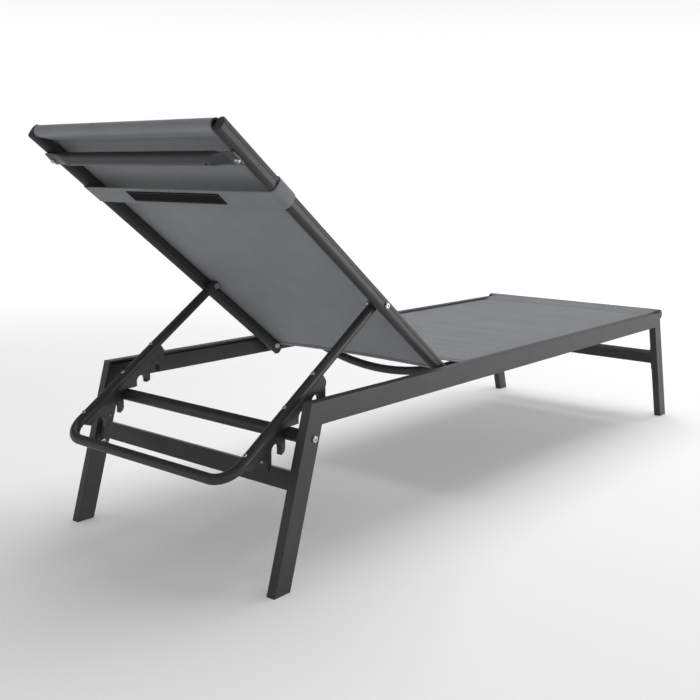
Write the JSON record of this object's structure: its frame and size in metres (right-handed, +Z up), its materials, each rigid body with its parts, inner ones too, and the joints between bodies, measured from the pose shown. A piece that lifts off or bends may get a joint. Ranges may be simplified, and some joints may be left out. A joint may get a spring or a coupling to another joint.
{
  "type": "sun_lounger",
  "caption": "Reclining garden sun lounger: dark grey aluminium frame, grey sling seat and adjustable back held by a bowed prop with notched combs, and a strapped headrest pillow",
  "frame": {"origin": "middle of the footprint, on the ground", "axes": "+X from the head end to the foot end, +Y to the left of someone lying on it, +Z up"},
  "size_m": [1.8662, 0.6008, 0.8151],
  "materials": {
    "frame_paint": "matte",
    "moulded_plastic": "matte",
    "fastener_steel": "satin",
    "sling_cloth": "matte",
    "strap_webbing": "matte",
    "hook_and_loop": "matte",
    "pillow_cloth": "matte"
  },
  "bodies": {
    "base": {"side_rail_left": "frame_paint", "side_rail_right": "frame_paint", "head_leg_left": "frame_paint", "head_leg_right": "frame_paint", "foot_leg_left": "frame_paint", "foot_leg_right": "frame_paint", "head_glide_left": "moulded_plastic", "head_glide_right": "moulded_plastic", "foot_glide_left": "moulded_plastic", "foot_glide_right": "moulded_plastic", "head_crossbar": "frame_paint", "head_crossbar_bolts": "fastener_steel", "foot_crossbar": "frame_paint", "foot_crossbar_bolts": "fastener_steel", "catch_bar": "frame_paint", "catch_bar_bolts": "fastener_steel", "curved_crossbar": "frame_paint", "foot_tube": "frame_paint", "foot_tube_caps": "moulded_plastic", "seat_sling": "sling_cloth", "seat_edge_rods": "moulded_plastic", "hinge_bolt_left": "fastener_steel", "hinge_bolt_right": "fastener_steel", "hinge_spacers": "moulded_plastic"},
    "back": {"back_rail_left": "frame_paint", "back_rail_right": "frame_paint", "back_rail_caps": "moulded_plastic", "top_tube": "frame_paint", "spreader_bar": "frame_paint", "spreader_screws": "fastener_steel", "back_sling": "sling_cloth", "back_edge_rods": "moulded_plastic", "prop_pivot_bolts": "fastener_steel", "prop_washers": "moulded_plastic"},
    "prop": {"prop_tube": "frame_paint", "comb_left": "moulded_plastic", "comb_right": "moulded_plastic", "comb_screws": "fastener_steel"},
    "headrest": {"headrest_strap_left": "strap_webbing", "headrest_strap_right": "strap_webbing", "closure_patch": "hook_and_loop", "headrest_pillow": "pillow_cloth"}
  },
  "joints": [
    {"name": "back_recline", "type": "hinge", "parent": "base", "child": "back", "pos_m": [-0.27406, 0, 0.31], "axis": [0, 1, 0], "range_deg": [-34, 0]},
    {"name": "prop_swing", "type": "hinge", "parent": "back", "child": "prop", "pos_m": [-0.49491, 0, 0.47802], "axis": [0, 1, 0], "range_deg": [0, 66]},
    {"name": "headrest_slide", "type": "slide", "parent": "back", "child": "headrest", "axis": [-0.7965, 0, 0.6046], "range_m": [-0.04, 0.06]}
  ],
  "couplings": [
    {"joint": "prop_swing", "follows": "back_recline", "ratio": -1.914}
  ]
}
